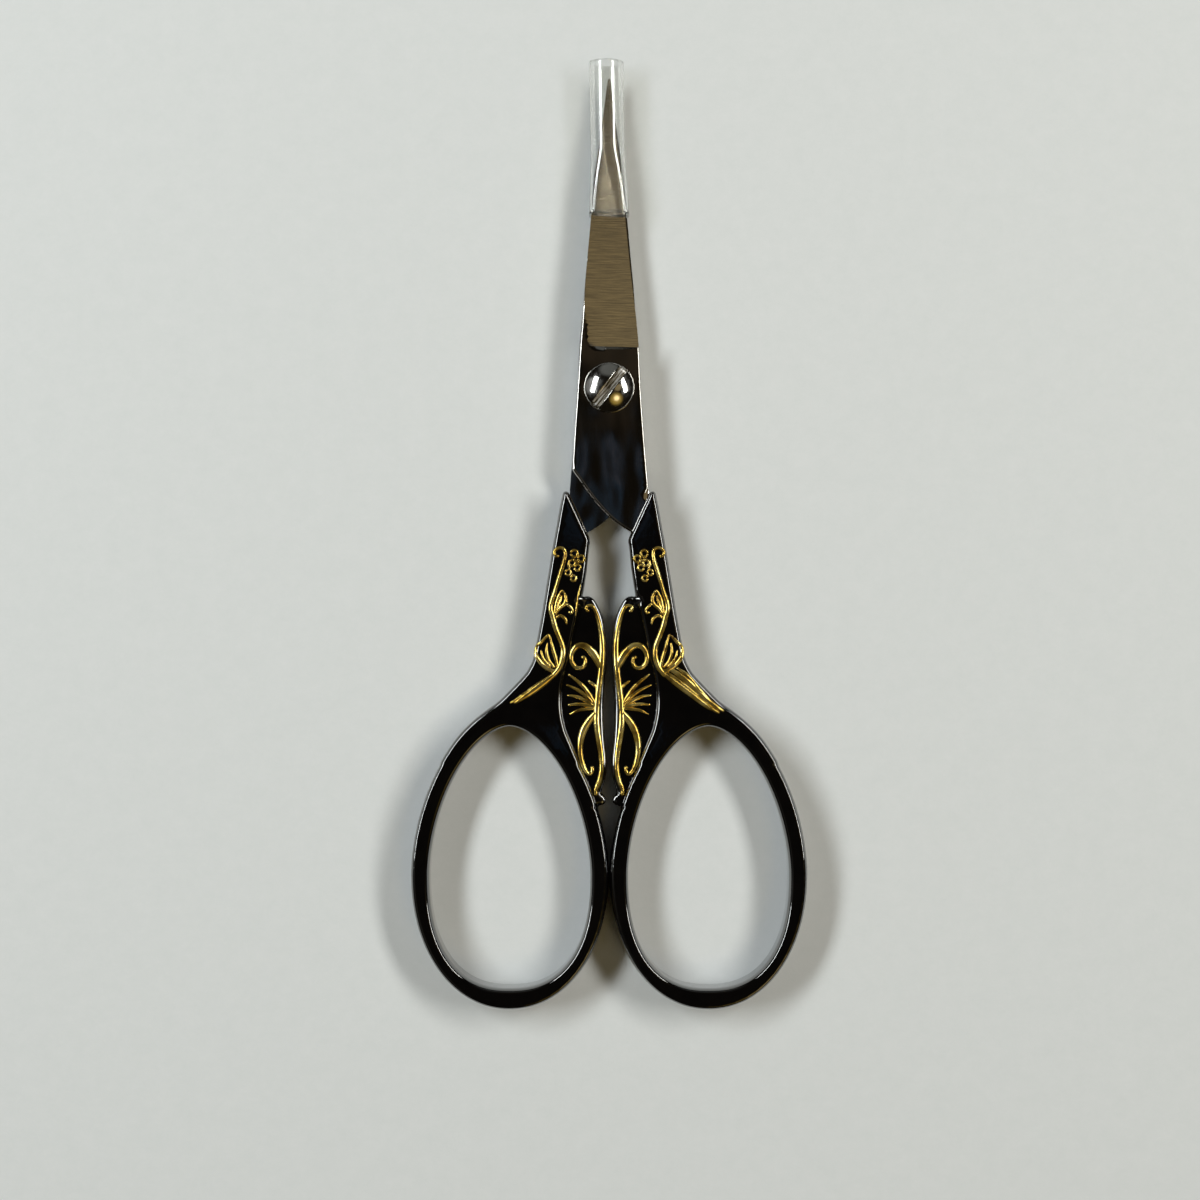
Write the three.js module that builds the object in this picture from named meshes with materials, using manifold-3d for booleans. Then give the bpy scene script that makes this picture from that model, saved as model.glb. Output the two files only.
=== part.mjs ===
// Embroidery thread snips: two stamped steel blades on a slotted pivot screw, each with its tang
// cast into a black zinc handle that has a finger ring, a thin wing and gold painted relief, and a
// clear soft sleeve over the points.
// Millimetres, +Z up. The snips lie flat with the points towards +Y. The outlines are drawn round
// the pivot, on the plane where the two blades meet, and the whole is then set on its base.
import * as THREE from "three";
import { mergeVertices } from "three/addons/utils/BufferGeometryUtils.js";
import Module from "manifold-3d";

const wasm = await Module();
wasm.setup();

// ---- driving dimensions ----
const TIP_Y = 38.3; // pivot to the points
const RING_BOTTOM_Y = -76.65; // pivot to the far end of the rings
const SLEEVE_TOP_Y = 40.4; // pivot to the far end of the sleeve

const BLADE_THICK = 1.6;
const BLADE_GAP = 0.03; // half of the running gap between the blades
const BLADE_EDGE = 0.12; // rounding along the polished blank
const EDGE_THICK = 0.3; // steel left at the cutting edge
const HOLE_R = 1.55;

const RING_HALF = 2.4; // half thickness of the ring
const ARM_HALF = 2.1; // half thickness of the arm and the web above the ring
const WING_HALF = 1.55; // half thickness of the wing
const RING_CENTRE = new THREE.Vector2(12.25, -60);
const RING_OUTER = { a: 12.2, up: 20.7, upPower: 1.8, down: -60 - RING_BOTTOM_Y, downPower: 2.08 };
const RING_HOLE = { a: 9.9, up: 18.2, upPower: 1.76, down: 14.0, downPower: 2.4 };
const TANG_CLEARANCE = 0.06;

const HEAD_R = 3.1;
const HEAD_HIGH = 1.35;
const SHANK_R = 1.5;
const TAIL_PROUD = 0.4;
const SLOT_WIDE = 1.1;
const SLOT_DEEP = 0.75;
const SLOT_TURN = THREE.MathUtils.degToRad(52);

const SLEEVE_R = 2.15; // outside, where it is round
const SLEEVE_WALL = 0.22;
const SLEEVE_MOUTH_Y = 21.5;
const SLEEVE_LEAN = -0.36; // how far the free end stands to the side
const MOUTH_HALF_WIDE = 2.5; // outside, where the sleeve is stretched over the blades
const MOUTH_HALF_HIGH = 1.95;
const MOUTH_POWER = 6; // of the superellipse that the mouth is stretched to

const RELIEF_HIGH = 0.28;

// ---- materials ----
const finish = (color, roughness, metalness, extra = {}) =>
  new THREE.MeshStandardMaterial({ color, roughness, metalness, ...extra });
const STEEL = finish(0xb9b7b0, 0.28, 1);
const SCREW = finish(0xcfcdc6, 0.15, 1);
const BLACK = finish(0x0a0a0b, 0.12, 0.1);
const GOLD = finish(0xb8892e, 0.35, 0.9);
const CLEAR = finish(0xe8ece8, 0.08, 0, { transparent: true, opacity: 0.3 });

// ---- helpers ----
const pts = (...xy) => xy.map(([x, y]) => new THREE.Vector2(x, y));

function solid(geometry) {
  const plain = geometry.clone();
  plain.deleteAttribute("normal");
  plain.deleteAttribute("uv");
  const merged = mergeVertices(plain, 1e-4);
  return new wasm.Manifold(
    new wasm.Mesh({
      numProp: 3,
      vertProperties: merged.attributes.position.array,
      triVerts: new Uint32Array(merged.index.array),
    }),
  );
}

const join = (solids) => solids.reduce((sum, one) => sum.add(one));

function geometryOf(manifold) {
  const mesh = manifold.getMesh();
  return new THREE.BufferGeometry()
    .setAttribute("position", new THREE.BufferAttribute(mesh.vertProperties, 3))
    .setIndex(new THREE.BufferAttribute(mesh.triVerts, 1));
}

function named(name, manifold, material) {
  const geometry = geometryOf(manifold);
  geometry.computeVertexNormals();
  const mesh = new THREE.Mesh(geometry, material);
  mesh.name = name;
  return mesh;
}

// A flat slab of the shape, centred on z = 0, with its edges chamfered inside the outline.
function slab(shape, half, edge, curveSegments = 2) {
  const geometry = new THREE.ExtrudeGeometry(shape, {
    depth: 2 * (half - edge),
    bevelThickness: edge,
    bevelSize: edge,
    bevelOffset: -edge,
    bevelSegments: 1,
    curveSegments,
  });
  return solid(geometry.translate(0, 0, edge - half));
}

function block(x0, x1, y0, y1, z0, z1) {
  const box = new THREE.BoxGeometry(x1 - x0, y1 - y0, z1 - z0);
  return solid(box.translate((x0 + x1) / 2, (y0 + y1) / 2, (z0 + z1) / 2));
}

function cylinder(r, z0, z1, segments = 40) {
  const round = new THREE.CylinderGeometry(r, r, z1 - z0, segments).rotateX(Math.PI / 2);
  return solid(round.translate(0, 0, (z0 + z1) / 2));
}

// An egg: a superellipse whose upper and lower halves have their own height and power.
function egg(centre, { a, up, upPower, down, downPower }, count, grow = 0) {
  const points = [];
  for (let i = 0; i < count; i++) {
    const t = (2 * Math.PI * i) / count;
    const [c, s] = [Math.cos(t), Math.sin(t)];
    const power = s > 0 ? upPower : downPower;
    const high = s > 0 ? up : down;
    const x = Math.sign(c) * Math.abs(c) ** (2 / power) * (a + grow);
    const y = Math.sign(s) * Math.abs(s) ** (2 / power) * (high + grow);
    points.push(new THREE.Vector2(centre.x + x, centre.y + y));
  }
  return points;
}

// ---- the blade and its tang ----
function bladeShape() {
  const shape = new THREE.Shape();
  shape.moveTo(-0.1, TIP_Y);
  // spine, from the point to the shoulder
  shape.splineThru(pts([-0.25, 37.6], [-0.45, 36], [-0.82, 33.1], [-1.19, 30.3]));
  shape.splineThru(pts([-1.58, 27.8], [-1.92, 25.4], [-2.2, 21.5]));
  shape.lineTo(-3.05, 12.3);
  shape.lineTo(-3.6, 5);
  shape.lineTo(-3.92, 0);
  shape.lineTo(-4.55, -9.4);
  // the heel runs across to the handle
  shape.splineThru(pts([-4.5, -10.2], [-3.3, -12], [-1.5, -14.3], [0, -15.9], [1.2, -16.9], [2.8, -17.9]));
  // tang
  shape.lineTo(3.4, -19.5);
  shape.lineTo(3.9, -24.5);
  shape.lineTo(5.3, -24.5);
  shape.lineTo(5.5, -17);
  shape.lineTo(4.95, -14);
  // the other side of the shank, then the cutting edge
  shape.lineTo(4.85, -12.3);
  shape.lineTo(3.92, 0);
  shape.lineTo(3.68, 5);
  shape.lineTo(3.2, 10);
  shape.lineTo(1.95, 21.5);
  shape.splineThru(pts([1.7, 25.4], [1.38, 27.8], [1.02, 30.3]));
  shape.splineThru(pts([0.66, 33.1], [0.38, 36], [0.24, 37.6]));
  shape.lineTo(0.1, TIP_Y);
  return shape;
}

// The plane of the ground facet, as the height left above the blade's flat side.
const GROUND_END_Y = 5;
const GROUND_ACROSS = (EDGE_THICK - BLADE_THICK) / 6.25;
const GROUND_ALONG = GROUND_ACROSS * 0.11;
const groundHeight = (x, y) => EDGE_THICK + GROUND_ACROSS * (x - 3.65) + GROUND_ALONG * (y - 6);

function grindingCut() {
  const high = 6;
  const runOut = 0.35;
  const box = new THREE.BoxGeometry(16, 40, high).translate(0, GROUND_END_Y + 20, high / 2);
  const at = box.attributes.position;
  for (let i = 0; i < at.count; i++) {
    const bottom = at.getZ(i) < 1;
    const start = at.getY(i) < GROUND_END_Y + 1;
    if (bottom) {
      at.setY(i, at.getY(i) + (start ? runOut : 0));
      at.setZ(i, BLADE_GAP + groundHeight(at.getX(i), at.getY(i)));
    }
  }
  return solid(box);
}

// The blank is twice as deep as the blade, and its lower half is cut off, so only the outer face
// keeps the rounded edge.
function blankSolid(grow = 0) {
  const half = BLADE_THICK + grow;
  const blank = slab(bladeShape(), half, BLADE_EDGE).translate([0, 0, BLADE_GAP]);
  return blank.subtract(block(-30, 30, -60, 60, -10, BLADE_GAP - grow));
}

function bladeSolid() {
  return blankSolid().subtract(grindingCut()).subtract(cylinder(HOLE_R, -5, 5));
}

// ---- the handle ----
function armShape() {
  const shape = new THREE.Shape();
  shape.moveTo(5.25, -12.75);
  shape.lineTo(5.55, -12.75);
  shape.lineTo(5.75, -13.05);
  // outside of the arm, sweeping out to the ring
  shape.splineThru(
    pts([6.4, -17], [6.9, -20], [7.8, -26], [8.7, -30.5], [9.4, -33.4], [11, -36.1], [13, -38]),
  );
  shape.splineThru(pts([15, -39.8], [17, -41.7], [18.6, -43.6], [20.2, -46.1]));
  shape.lineTo(4.1, -46);
  // inside of the arm, beside the wing
  shape.splineThru(
    pts([4.65, -44], [5.35, -42], [5.75, -40], [5.8, -38], [5.55, -36], [4.65, -32], [3.9, -28.5],
      [3.1, -25]),
  );
  shape.splineThru(pts([2.75, -22.5], [2.45, -19.6], [2.42, -18.8], [2.6, -18.2]));
  shape.lineTo(4.95, -13.05);
  return shape;
}

function ringShape() {
  const shape = new THREE.Shape(egg(RING_CENTRE, RING_OUTER, 60));
  shape.holes.push(new THREE.Path(egg(RING_CENTRE, RING_HOLE, 48)));
  return shape;
}

function wingShape() {
  const shape = new THREE.Shape();
  shape.moveTo(3.7, -26.3);
  shape.splineThru(
    pts([3.2, -25.8], [2.6, -25.7], [2, -26], [1.5, -26.7], [0.8, -28.4], [0.42, -31], [0.36, -34],
      [0.62, -37.2]),
  );
  shape.splineThru(pts([0.75, -40], [0.6, -43], [0.3, -46], [0.42, -48], [0.9, -49.4], [0.9, -50.2]));
  // the bead at the foot of the wing
  shape.splineThru(pts([0.52, -50.8], [0.62, -51.35], [1.1, -51.65], [1.6, -51.9]));
  shape.lineTo(2.6, -51.4);
  shape.lineTo(5.4, -45);
  shape.lineTo(6.6, -40);
  shape.lineTo(6.2, -34);
  return shape;
}

function handleSolid() {
  const web = slab(armShape(), ARM_HALF, 0.3).subtract(
    slab(new THREE.Shape(egg(RING_CENTRE, RING_HOLE, 48, 1.1)), RING_HALF + 2, 0.1),
  );
  const ring = slab(ringShape(), RING_HALF, 0.5);
  const wing = slab(wingShape(), WING_HALF, 0.3);
  const pocket = blankSolid(TANG_CLEARANCE);
  const wider = [-TANG_CLEARANCE, TANG_CLEARANCE];
  const cut = join(wider.flatMap((x) => wider.map((y) => pocket.translate([x, y, 0]))));
  return web.add(ring).add(wing).subtract(cut);
}

// ---- the raised gold scrollwork ----
// A ribbon of relief along a line, standing on z = 0, low at its sides.
function ribbon(points, wide, steps = 2 * points.length) {
  const path = new THREE.CatmullRomCurve3(points.map(([x, y]) => new THREE.Vector3(x, y, 0)));
  const section = new THREE.Shape();
  section.moveTo(0, -wide / 2);
  section.lineTo(-RELIEF_HIGH, -wide / 4);
  section.lineTo(-RELIEF_HIGH, wide / 4);
  section.lineTo(0, wide / 2);
  return solid(new THREE.ExtrudeGeometry(section, { steps, extrudePath: path, bevelEnabled: false }));
}

function ringlet(x, y, r, wide) {
  const ring = new THREE.Shape().absarc(0, 0, r, 0, 2 * Math.PI, false);
  ring.holes.push(new THREE.Path().absarc(0, 0, r - wide, 0, 2 * Math.PI, true));
  const flat = { depth: RELIEF_HIGH, bevelEnabled: false, curveSegments: 3 };
  return solid(new THREE.ExtrudeGeometry(ring, flat).translate(x, y, 0));
}

function armVine() {
  const stem = [
    [6.5, -20.6], [6.3, -20], [5.75, -19.95], [5.4, -20.7], [5.6, -22.1], [6.2, -24], [6.95, -26],
    [7.1, -27.4], [6.8, -28.9], [6.2, -30.6], [5.95, -32], [6, -33.3], [6.5, -34.7], [7.6, -36],
    [9.2, -37.2], [11.3, -38.5],
  ];
  return join([
    ribbon(stem, 0.6, 20),
    ringlet(4.2, -20.75, 0.55, 0.28), // blossom
    ringlet(3.55, -21.2, 0.5, 0.26),
    ringlet(4.35, -21.5, 0.5, 0.26),
    ribbon([[4.5, -21.9], [4.6, -22.7], [5.2, -23], [5.9, -23.2]], 0.4, 4),
    ribbon([[4.5, -22.5], [4.55, -23.3], [4.75, -24]], 0.35, 3),
    ribbon([[6.75, -27.6], [5.6, -26.6], [5.5, -25.6], [6.1, -24.8]], 0.5, 6), // leaf
    ribbon([[6.8, -28.2], [5.9, -27.9], [5.45, -28.4], [5.35, -29]], 0.45, 5),
    ribbon([[6.8, -35.1], [8.2, -34.2], [8.85, -32.8], [8.3, -31.5], [7.3, -30.5]], 0.4, 8), // bud
    ribbon([[6.8, -35], [6.75, -33.6], [6.8, -32], [7.3, -30.5]], 0.4, 5),
    ribbon([[6.8, -35.1], [7.7, -33.4], [7.7, -31.8]], 0.35, 3),
  ]);
}

function wingScroll() {
  const stem = [
    [2.9, -27.6], [2.5, -27.1], [2, -27.1], [1.5, -28.1], [1.1, -29.6], [0.95, -31], [0.9, -32.6],
    [1.05, -34.3], [1.3, -36.2], [1.5, -38], [1.6, -40], [1.5, -42], [1.2, -44], [1, -46], [1.2, -48],
    [1.75, -49.3], [1.7, -50.4],
  ];
  const spiral = [
    [1.1, -34.6], [1.7, -33.3], [2.4, -32.2], [3.2, -31.75], [4.1, -32.1], [4.6, -33.2], [4.3, -34.3],
    [3.5, -34.5], [3, -33.9], [3.15, -33.3],
  ];
  const hook = [
    [1.7, -40.2], [2.6, -41.2], [3.3, -42.8], [3.5, -44.6], [3.3, -46.2], [2.8, -47.4], [2.2, -47.2],
  ];
  const spray = [[5, -35.4], [5.05, -37.5], [4.9, -38.9], [4.8, -40.1]];
  return join([
    ribbon(stem, 0.6, 20),
    ribbon(spiral, 0.6, 12),
    ribbon(hook, 0.5, 14),
    ...spray.map(([x, y]) => ribbon([[1.6, -39], [(x + 1.6) / 2, (y * 2 - 39 * 3) / 5], [x, y]], 0.42, 4)),
  ]);
}

// ---- one half of the snips ----
// The front half has its blade above the meeting plane. Turned half round +Y, it is the rear half.
const vine = armVine();
const scroll = wingScroll();

function half(bladeName, side, upper, lower) {
  const group = new THREE.Group();
  group.add(named(bladeName, bladeSolid(), STEEL));
  group.add(named(`${side}_handle`, handleSolid(), BLACK));
  const reliefs = [
    { kind: "arm_vine", shape: vine, seat: ARM_HALF },
    { kind: "wing_scroll", shape: scroll, seat: WING_HALF },
  ];
  for (const { kind, shape, seat } of reliefs) {
    for (const [face, turn] of [[upper, 1], [lower, -1]]) {
      const relief = named(`${side}_${kind}_${face}`, shape, GOLD);
      relief.scale.z = turn;
      relief.position.z = turn * seat;
      group.add(relief);
    }
  }
  return group;
}

// ---- the pivot screw, threaded into the rear blade ----
function screwSolid() {
  const seat = BLADE_GAP + BLADE_THICK + 0.02;
  const tail = -(BLADE_GAP + BLADE_THICK + TAIL_PROUD);
  const domeR = (HEAD_R ** 2 + (HEAD_HIGH - 0.25) ** 2) / (2 * (HEAD_HIGH - 0.25));
  const profile = pts([0, tail], [SHANK_R - 0.35, tail], [SHANK_R, tail + 0.35], [SHANK_R, seat]);
  profile.push(new THREE.Vector2(HEAD_R, seat));
  const steps = 7;
  for (let i = 0; i <= steps; i++) {
    const r = HEAD_R * Math.cos((i / steps) * (Math.PI / 2));
    profile.push(new THREE.Vector2(r, seat + HEAD_HIGH - domeR + Math.sqrt(domeR ** 2 - r ** 2)));
  }
  profile[profile.length - 1].x = 0;
  const turned = solid(new THREE.LatheGeometry(profile, 40).rotateX(Math.PI / 2));
  const slot = new THREE.BoxGeometry(2 * HEAD_R + 2, SLOT_WIDE, 2).rotateZ(SLOT_TURN);
  return turned.subtract(solid(slot.translate(0, 0, seat + HEAD_HIGH - SLOT_DEEP + 1)));
}

// ---- the clear sleeve ----
// It is turned as a round tube, then its mouth is stretched over the blades and the tube leans.
function sleeveSolid() {
  const length = SLEEVE_TOP_Y - SLEEVE_MOUTH_Y;
  const stations = 12;
  const inner = SLEEVE_R - SLEEVE_WALL;
  const profile = [];
  for (let i = 0; i <= stations; i++) profile.push(new THREE.Vector2(SLEEVE_R, (length * i) / stations));
  for (let i = stations; i >= 0; i--) profile.push(new THREE.Vector2(inner, (length * i) / stations));
  profile.push(profile[0].clone());
  const tube = new THREE.LatheGeometry(profile, 48);
  const at = tube.attributes.position;
  for (let i = 0; i < at.count; i++) {
    const [x, y, z] = [at.getX(i), at.getY(i), at.getZ(i)];
    const r = Math.hypot(x, z);
    const stretch = Math.max(0, 1 - y / (0.45 * length)) ** 1.4;
    const power = 2 + (MOUTH_POWER - 2) * stretch;
    const [c, s] = [x / r, z / r];
    const out = (Math.abs(c) ** power + Math.abs(s) ** power) ** (-1 / power);
    const wide = THREE.MathUtils.lerp(SLEEVE_R, MOUTH_HALF_WIDE, stretch) - (SLEEVE_R - r);
    const high = THREE.MathUtils.lerp(SLEEVE_R, MOUTH_HALF_HIGH, stretch) - (SLEEVE_R - r);
    at.setXYZ(i, c * out * wide + (SLEEVE_LEAN * y) / length, SLEEVE_MOUTH_Y + y, s * out * high);
  }
  return solid(tube);
}

// ---- assembly ----
const snips = new THREE.Group();
const frontHalf = half("front_blade", "right", "front", "back");
const rearHalf = half("rear_blade", "left", "back", "front");
rearHalf.rotation.y = Math.PI;
snips.add(frontHalf, rearHalf);
snips.add(named("pivot_screw", screwSolid(), SCREW));
snips.add(named("tip_cover", sleeveSolid(), CLEAR));
snips.position.set(0, -(SLEEVE_TOP_Y + RING_BOTTOM_Y) / 2, RING_HALF);

const root = new THREE.Group();
root.add(snips);
export default root;
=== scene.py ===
"""Embroidery snips with black and gold handles, closed, on their back, seen from straight above."""
import math

import bpy
import numpy as np
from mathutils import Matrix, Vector, geometry


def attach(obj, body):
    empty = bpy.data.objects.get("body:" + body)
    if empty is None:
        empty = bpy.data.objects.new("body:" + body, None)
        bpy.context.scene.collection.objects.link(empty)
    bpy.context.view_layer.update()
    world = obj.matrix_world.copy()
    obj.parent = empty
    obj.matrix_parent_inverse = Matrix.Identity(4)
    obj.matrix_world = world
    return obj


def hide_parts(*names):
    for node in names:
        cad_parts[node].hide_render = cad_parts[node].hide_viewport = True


# ---- driving dimensions, in millimetres, round the pivot on the plane where the blades meet ----
PIVOT_Y = 18.125  # of the pivot in the row frame
MID_Z = 2.4  # of the plane where the blades meet

TIP_Y = 38.3
BLADE_GAP = 0.03
BLADE_THICK = 1.6
BLADE_EDGE = 0.22
EDGE_THICK = 0.3
HOLE_R = 1.55
HEEL_BEVEL = 0.09
HEEL_BEVEL_WIDE = 0.36
GROUND_END_Y = 5.0
GROUND_CORNER = 1.0
GROUND_RUN_OUT = 0.09

RING_HALF = 2.4
ARM_HALF = 2.1
WING_HALF = 1.55
HANDLE_EDGE = 0.34
HANDLE_EDGE_WIDE = 0.62
RING_CENTRE = (12.25, -60.0)
RING_OUTER = (12.2, 20.7, 1.8, 16.65, 2.08)
RING_HOLE = (9.9, 18.2, 1.76, 14.0, 2.4)
RELIEF_HIGH = 0.26

HEAD_R = 3.1
HEAD_HIGH = 1.35
HEAD_EDGE = 0.16
SHANK_R = 1.5
TAIL_PROUD = 0.4
SLOT_HALF = 0.55
SLOT_DEEP = 0.75
SLOT_LIP = 0.07
SLOT_WALL = 0.03  # how far the slot's walls lean across
SLOT_TURN = math.radians(52)

SLEEVE_R = 2.15
SLEEVE_WALL = 0.22
SLEEVE_MOUTH_Y = 21.5
SLEEVE_TOP_Y = 40.4
SLEEVE_LEAN = -0.36
MOUTH_HALF_WIDE = 2.5
MOUTH_HALF_HIGH = 1.95
MOUTH_POWER = 6  # of the superellipse that the mouth is stretched to
MOUTH_REACH = 0.45  # how far up the sleeve the stretch goes, as a share of its length
MOUTH_EASE = 1.4

# ---- the view ----
VIEW_CENTRE = (-1.13, -26.17)
VIEW_WIDE = 147.4
CAMERA_HIGH = 270.0

# ---- light ----
SOFTBOX_SIZE = (0.53, 0.125)  # along Y and across, in metres
# what the gloss shows: a direction, its colour, and the cosines where the patch ends and is full
ROOM_PATCHES = [
    ((0, 0, 1), (0.007, 0.0055, 0.0035), -2.0, -1.5),
    ((0, 0.9, 0.5), (0.11, 0.115, 0.11), 0.87, 0.97),
    ((-0.8, 0.15, 0.5), (0.18, 0.18, 0.175), 0.91, 0.98),
    ((-0.36, -0.25, 0.9), (0.062, 0.058, 0.050), 0.97, 0.99),
    ((0.40, 0.08, 0.9), (0.25, 0.188, 0.092), 0.970, 0.993),  # seen in the ground facets
    ((0.33, -0.46, 0.75), (0.40, 0.27, 0.055), 0.93, 0.99),  # a lamp's glow, seen in the screw head
    ((0.34, -0.42, 0.75), (1.5, 1.2, 0.65), 0.984, 0.999),  # that lamp
    ((0, 0.22, 1), (0.026, 0.019, 0.012), 0.990, 0.9954),
    ((0, 0.048, 1), (0.012, 0.025, 0.042), 0.99961, 0.99976),  # a blue smear on the shank
    ((0, 0.056, 1), (0.060, 0.036, 0.022), 0.99996, 0.99999),  # a warm streak on the shank
]


# ---- helpers: outlines ----
def spline(points, step=0.12, closed=False):
    """Points evenly spaced along a Catmull-Rom curve."""
    p = np.array(points, float)
    if closed:
        p = np.vstack([p[-1], p, p[0], p[1]])
    else:
        p = np.vstack([2 * p[0] - p[1], p, 2 * p[-1] - p[-2]])
    t = np.linspace(0, 1, 24, endpoint=False)[:, None]
    runs = []
    for a, b, c, d in zip(p, p[1:], p[2:], p[3:]):
        square, cube = 2 * a - 5 * b + 4 * c - d, 3 * b - a - 3 * c + d
        runs.append(0.5 * (2 * b + (c - a) * t + square * t**2 + cube * t**3))
    dense = np.vstack([*runs, p[-2][None]])
    return resample(dense, step)


def resample(line, step):
    lengths = np.concatenate([[0], np.cumsum(np.linalg.norm(np.diff(line, axis=0), axis=1))])
    count = max(2, round(lengths[-1] / step) + 1)
    at = np.linspace(0, lengths[-1], count)
    return np.stack([np.interp(at, lengths, line[:, i]) for i in range(line.shape[1])], axis=1)


def loop_of(*runs):
    """One closed outline from runs of points, with no point twice."""
    points = np.vstack([np.array(run, float) for run in runs])
    keep = np.linalg.norm(points - np.roll(points, 1, axis=0), axis=1) > 1e-3
    return points[keep]


def resample_loop(loop, step):
    return resample(np.vstack([loop, loop[:1]]), step)[:-1]


def egg(size, count=260):
    a, up, up_power, down, down_power = size
    t = np.linspace(0, 2 * math.pi, count, endpoint=False)
    c, s = np.cos(t), np.sin(t)
    power = np.where(s > 0, up_power, down_power)
    high = np.where(s > 0, up, down)
    x = np.sign(c) * np.abs(c) ** (2 / power) * a
    y = np.sign(s) * np.abs(s) ** (2 / power) * high
    return resample_loop(np.stack([RING_CENTRE[0] + x, RING_CENTRE[1] + y], axis=1), 0.25)


def circle(r, count):
    t = np.linspace(0, 2 * math.pi, count, endpoint=False)
    return np.stack([r * np.cos(t), r * np.sin(t)], axis=1)


def signed_distance(points, loop):
    """Distance to a closed outline, positive inside it."""
    a = loop
    ab = np.roll(loop, -1, axis=0) - a
    rise = np.where(ab[:, 1] == 0, 1e-12, ab[:, 1])
    long = (ab**2).sum(1)
    out = np.empty(len(points))
    for start in range(0, len(points), 4000):
        ap = points[start : start + 4000, None, :] - a
        t = np.clip((ap * ab).sum(2) / long, 0, 1)
        away = ((ap - t[..., None] * ab) ** 2).sum(2).min(1)
        crosses = (ap[..., 1] < 0) != (ap[..., 1] < ab[:, 1])
        inside = (crosses & (ap[..., 0] < ap[..., 1] * ab[:, 0] / rise)).sum(1) % 2
        out[start : start + 4000] = np.where(inside, 1, -1) * np.sqrt(away)
    return out


def soft_max(a, b, k):
    h = np.clip(0.5 + 0.5 * (a - b) / k, 0, 1)
    return b * (1 - h) + a * h + k * h * (1 - h)


def smooth(x):
    x = np.clip(x, 0, 1)
    return x * x * (3 - 2 * x)


def round_over(d, high, wide=None):
    """Height lost at distance d inside an edge that is rounded high deep and wide across."""
    near = np.clip(1 - d / (wide or high), 0, 1)
    return high * (1 - np.sqrt(1 - near**2))


class Field:
    """A value known on a fine grid and read between its points."""

    def __init__(self, low, high, pitch, make):
        self.low, self.pitch = np.array(low, float), pitch
        self.shape = tuple(int((b - a) / pitch) + 2 for a, b in zip(low, high))
        ix, iy = np.meshgrid(*[np.arange(n) for n in self.shape], indexing="ij")
        at = np.stack([ix.ravel(), iy.ravel()], axis=1) * pitch + self.low
        self.values = make(at).reshape(self.shape)

    def __call__(self, points):
        g = (np.asarray(points) - self.low) / self.pitch
        g = np.clip(g, 0, np.array(self.shape) - 1.001)
        i = g.astype(int)
        f = g - i
        v = self.values
        low = v[i[:, 0], i[:, 1]] * (1 - f[:, 0]) + v[i[:, 0] + 1, i[:, 1]] * f[:, 0]
        high = v[i[:, 0], i[:, 1] + 1] * (1 - f[:, 0]) + v[i[:, 0] + 1, i[:, 1] + 1] * f[:, 0]
        return low * (1 - f[:, 1]) + high * f[:, 1]

    def contours(self, level, step):
        """Closed outlines where the value is level."""
        v = self.values - level
        inside = v > 0
        square = [inside[:-1, :-1], inside[1:, :-1], inside[1:, 1:], inside[:-1, 1:]]
        total = sum(s.astype(int) for s in square)
        links = {}
        for i, j in zip(*np.nonzero((total > 0) & (total < 4))):
            corners = [(i, j), (i + 1, j), (i + 1, j + 1), (i, j + 1)]
            cut = []
            for a, b in zip(corners, corners[1:] + corners[:1]):
                if inside[a] != inside[b]:
                    cut.append(tuple(sorted((a, b))))
            for a, b in zip(cut[::2], cut[1::2]):
                links.setdefault(a, []).append(b)
                links.setdefault(b, []).append(a)

        def place(edge):
            a, b = edge
            t = v[a] / (v[a] - v[b])
            return self.low + self.pitch * (np.array(a) * (1 - t) + np.array(b) * t)

        loops = []
        while links:
            start = next(iter(links))
            chain, before, here = [], None, start
            while here in links:
                after = [e for e in links.pop(here) if e != before]
                chain.append(place(here))
                before, here = here, after[0] if after else start
            if len(chain) > 12:
                line = np.array(chain)
                for _ in range(3):
                    line = (np.roll(line, 1, axis=0) + 2 * line + np.roll(line, -1, axis=0)) / 4
                loops.append(resample_loop(line, step))
        return loops


# ---- helpers: meshes ----
def to_row(points, turned=False):
    """From round the pivot, in millimetres, to the row frame, in metres. Turned is half round +Y."""
    p = np.array(points, float)
    if turned:
        p = p * (-1, 1, -1)
    return (p + (0, PIVOT_Y, MID_Z)) * 0.001


def sharpen_borders(mesh):
    """Every edge between two materials is kept crisp."""
    finishes = {}
    for face in mesh.polygons:
        for key in face.edge_keys:
            finishes.setdefault(key, set()).add(face.material_index)
    for edge in mesh.edges:
        if len(finishes[edge.key]) > 1:
            edge.use_edge_sharp = True


def add_piece(name, node, body, verts, faces, materials, face_materials=None, sharp=50):
    mesh = bpy.data.meshes.new(name)
    mesh.from_pydata([tuple(v) for v in verts], [], [tuple(int(i) for i in f) for f in faces])
    mesh.validate()
    for material in materials:
        mesh.materials.append(material)
    if face_materials is not None:
        mesh.polygons.foreach_set("material_index", np.array(face_materials, np.int32))
    mesh.polygons.foreach_set("use_smooth", np.ones(len(mesh.polygons), bool))
    mesh.set_sharp_from_angle(angle=math.radians(sharp))
    if len(materials) > 1:
        sharpen_borders(mesh)
    mesh.update()
    obj = bpy.data.objects.new(name, mesh)
    bpy.context.scene.collection.objects.link(obj)
    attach(obj, body)
    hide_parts(node)
    return obj


def inward(loop):
    """The inward unit normal at each point of an outline."""
    along = np.roll(loop, -1, axis=0) - np.roll(loop, 1, axis=0)
    along /= np.linalg.norm(along, axis=1)[:, None]
    area = 0.5 * np.sum(loop[:, 0] * np.roll(loop[:, 1], -1) - loop[:, 1] * np.roll(loop[:, 0], -1))
    turn = 1 if area > 0 else -1
    return np.stack([-along[:, 1], along[:, 0]], axis=1) * turn


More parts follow.
